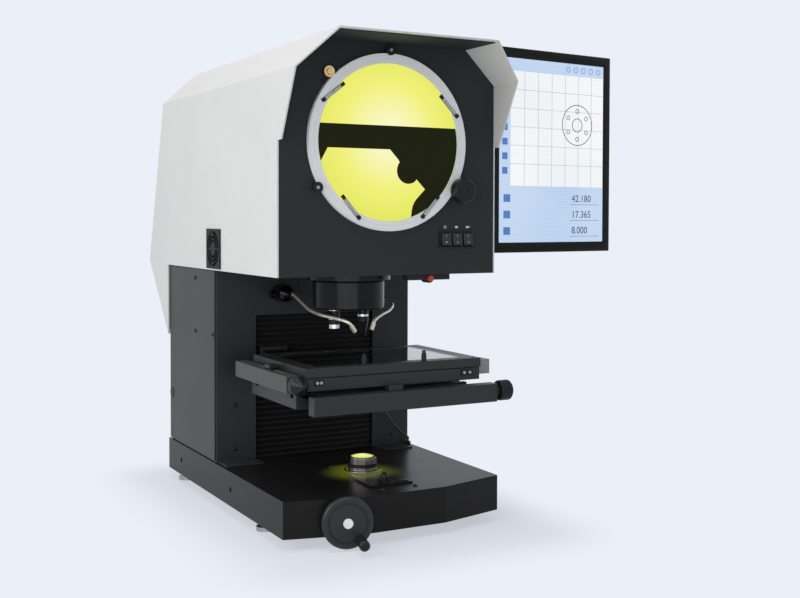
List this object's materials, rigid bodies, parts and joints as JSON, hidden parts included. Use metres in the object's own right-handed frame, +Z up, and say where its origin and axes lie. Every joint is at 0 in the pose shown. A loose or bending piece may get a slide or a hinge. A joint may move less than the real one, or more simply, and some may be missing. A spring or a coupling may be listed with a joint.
{
  "type": "optical comparator",
  "caption": "Bench-top vertical profile projector: bowed base with condenser and handwheel, column with lifting XY glass stage, lens turret, light guides, folded hood, round screen and monitor.",
  "frame": {"origin": "on the bench, at the centre of the four levelling feet", "axes": "+X to the machine's right, +Y to its back, +Z up"},
  "size_m": [0.8171, 0.9414, 0.962],
  "materials": {
    "black_casting": "satin painted",
    "column_paint": "fine textured paint",
    "grey_cover": "fine textured paint",
    "hood_paint": "satin painted",
    "panel_black": "matt painted",
    "anodised_black": "anodised",
    "grey_bar": "satin painted",
    "knob_black": "moulded",
    "wheel_black": "satin painted",
    "steel": "turned",
    "cap_white": "moulded",
    "bellows_cloth": "coated cloth",
    "ring_alu": "fine turned",
    "screen_glass": "ground",
    "clear_glass": "polished",
    "mirror": "front silvered",
    "brass": "turned",
    "guide_black": "ribbed sleeve",
    "red_button": "moulded",
    "monitor_black": "moulded",
    "arm_paint": "satin painted",
    "display": "lit panel"
  },
  "bodies": {
    "frame": {"base_casting": "black_casting", "levelling_feet": "steel", "illuminator_plate": "anodised_black", "lamp_house": "anodised_black", "lift_gearbox": "black_casting", "column_frame": "column_paint", "column_side_covers": "grey_cover", "column_rear_cover": "column_paint", "bellows_upper": "bellows_cloth", "bellows_lower": "bellows_cloth", "head_floor": "panel_black", "hood": "hood_paint", "front_panel": "panel_black", "mirrors": "mirror", "switch_bezel": "knob_black", "turret_flange": "anodised_black", "fan_frame": "knob_black", "light_guide_sockets": "knob_black", "monitor_bracket": "arm_paint", "power_inlet": "knob_black", "stage_cable": "guide_black"},
    "condenser": {"condenser_barrel": "anodised_black", "condenser_lens": "clear_glass", "helix_lever": "anodised_black"},
    "handwheel": {"handwheel": "wheel_black", "handwheel_shaft": "steel", "hub_cap": "cap_white"},
    "crank_grip": {"crank_grip": "knob_black"},
    "lift_screw": {"lift_screw": "steel"},
    "lift": {"lift_carriage": "anodised_black", "stage_bracket": "anodised_black", "x_drive_housing": "anodised_black"},
    "x_knob": {"x_knob": "knob_black"},
    "x_stage": {"x_slide": "anodised_black", "y_drive_housing": "grey_bar"},
    "y_knob": {"y_knob": "knob_black"},
    "y_stage": {"stage_frame": "anodised_black", "stage_glass": "clear_glass", "stage_pins": "steel", "read_head": "grey_bar"},
    "screen": {"screen_ring": "ring_alu", "screen_glass": "screen_glass", "chart_clips": "steel"},
    "roller_top": {"roller_top": "knob_black"},
    "roller_left": {"roller_left": "knob_black"},
    "encoder_wheel": {"encoder_wheel": "brass"},
    "screen_knob": {"screen_knob": "knob_black"},
    "turret": {"turret_body": "anodised_black", "objective_main": "anodised_black", "objective_spare": "anodised_black"},
    "light_guide_left": {"light_guide_left": "guide_black"},
    "light_guide_right": {"light_guide_right": "guide_black"},
    "fan_impeller": {"fan_impeller": "knob_black"},
    "rocker_power": {"rocker_power": "knob_black"},
    "rocker_profile": {"rocker_profile": "knob_black"},
    "rocker_surface": {"rocker_surface": "knob_black"},
    "release_button": {"release_button": "red_button"},
    "monitor_arm": {"monitor_arm": "arm_paint"},
    "monitor": {"monitor_case": "monitor_black", "monitor_display": "display"}
  },
  "joints": [
    {"name": "helix_tilt", "type": "hinge", "parent": "frame", "child": "condenser", "pos_m": [0.004, -0.25, 0.075], "axis": [0, 1, 0], "range_deg": [-7, 7]},
    {"name": "stage_lift", "type": "slide", "parent": "frame", "child": "lift", "axis": [0, 0, 1], "range_m": [-0.075, 0.02], "deforming": ["bellows_lower", "bellows_upper", "stage_cable"]},
    {"name": "handwheel_spin", "type": "hinge", "parent": "frame", "child": "handwheel", "pos_m": [-0.12066, -0.42828, 0.052], "axis": [0.2441, 0.9697, 0], "range_deg": [-2702, 722]},
    {"name": "crank_spin", "type": "hinge", "parent": "handwheel", "child": "crank_grip", "pos_m": [-0.11173, -0.48209, 0.02087], "axis": [0.2441, 0.9697, 0], "continuous": true},
    {"name": "lift_screw_spin", "type": "hinge", "parent": "frame", "child": "lift_screw", "pos_m": [0, 0.051, 0.2], "axis": [0, 0, 1], "range_deg": [-2702, 722]},
    {"name": "x_travel", "type": "slide", "parent": "lift", "child": "x_stage", "axis": [1, 0, 0], "range_m": [-0.1, 0.1]},
    {"name": "x_knob_spin", "type": "hinge", "parent": "lift", "child": "x_knob", "pos_m": [0.25, -0.399, 0.263], "axis": [1, 0, 0], "range_deg": [-3603, 3603]},
    {"name": "y_travel", "type": "slide", "parent": "x_stage", "child": "y_stage", "axis": [0, 1, 0], "range_m": [-0.05, 0.05]},
    {"name": "y_knob_spin", "type": "hinge", "parent": "x_stage", "child": "y_knob", "pos_m": [-0.203, -0.4, 0.302], "axis": [0, 1, 0], "range_deg": [-1802, 1802]},
    {"name": "screen_spin", "type": "hinge", "parent": "frame", "child": "screen", "pos_m": [-0.009, -0.391, 0.753], "axis": [0, 1, 0], "continuous": true},
    {"name": "roller_top_spin", "type": "hinge", "parent": "frame", "child": "roller_top", "pos_m": [-0.009, -0.391, 0.9283], "axis": [0, 1, 0], "continuous": true},
    {"name": "roller_left_spin", "type": "hinge", "parent": "frame", "child": "roller_left", "pos_m": [-0.16081, -0.391, 0.66535], "axis": [0, 1, 0], "continuous": true},
    {"name": "encoder_spin", "type": "hinge", "parent": "frame", "child": "encoder_wheel", "pos_m": [-0.13614, -0.391, 0.88014], "axis": [0, 1, 0], "continuous": true},
    {"name": "screen_knob_spin", "type": "hinge", "parent": "frame", "child": "screen_knob", "pos_m": [0.14688, -0.391, 0.663], "axis": [0, 1, 0], "continuous": true},
    {"name": "turret_turn", "type": "hinge", "parent": "frame", "child": "turret", "pos_m": [-0.028, -0.25, 0.486], "axis": [0, 0, 1], "range_deg": [0, 180]},
    {"name": "guide_left_swivel", "type": "hinge", "parent": "frame", "child": "light_guide_left", "pos_m": [-0.085, -0.06, 0.447], "axis": [0, 0, 1], "range_deg": [-20, 0]},
    {"name": "guide_right_swivel", "type": "hinge", "parent": "frame", "child": "light_guide_right", "pos_m": [0.085, -0.06, 0.447], "axis": [0, 0, 1], "range_deg": [0, 20]},
    {"name": "fan_spin", "type": "hinge", "parent": "frame", "child": "fan_impeller", "pos_m": [-0.222, -0.0365, 0.544], "axis": [1, 0, 0], "continuous": true},
    {"name": "rocker_power_tilt", "type": "hinge", "parent": "frame", "child": "rocker_power", "pos_m": [0.1202, -0.381, 0.567], "axis": [1, 0, 0], "range_deg": [0, 14]},
    {"name": "rocker_profile_tilt", "type": "hinge", "parent": "frame", "child": "rocker_profile", "pos_m": [0.1455, -0.381, 0.567], "axis": [1, 0, 0], "range_deg": [0, 14]},
    {"name": "rocker_surface_tilt", "type": "hinge", "parent": "frame", "child": "rocker_surface", "pos_m": [0.1708, -0.381, 0.567], "axis": [1, 0, 0], "range_deg": [0, 14]},
    {"name": "release_press", "type": "slide", "parent": "frame", "child": "release_button", "axis": [0, 1, 0], "range_m": [0, 0.004], "stiffness_N_per_m": 300},
    {"name": "arm_swing", "type": "hinge", "parent": "frame", "child": "monitor_arm", "pos_m": [0.264, -0.2, 0.75], "axis": [0, 0, 1], "range_deg": [0, 35]},
    {"name": "monitor_tilt", "type": "hinge", "parent": "monitor_arm", "child": "monitor", "pos_m": [0.40573, -0.27833, 0.75], "axis": [0.9945, 0.1045, 0], "range_deg": [-10, 10]}
  ],
  "couplings": [
    {"joint": "handwheel_spin", "follows": "stage_lift", "rad_per_m": 628.32},
    {"joint": "lift_screw_spin", "follows": "stage_lift", "rad_per_m": 628.32},
    {"joint": "x_knob_spin", "follows": "x_travel", "rad_per_m": 628.32},
    {"joint": "y_knob_spin", "follows": "y_travel", "rad_per_m": 628.32},
    {"joint": "roller_top_spin", "follows": "screen_spin", "ratio": -28.167},
    {"joint": "roller_left_spin", "follows": "screen_spin", "ratio": -28.167},
    {"joint": "encoder_spin", "follows": "screen_spin", "ratio": -16.095},
    {"joint": "screen_knob_spin", "follows": "screen_spin", "ratio": -15.794}
  ]
}
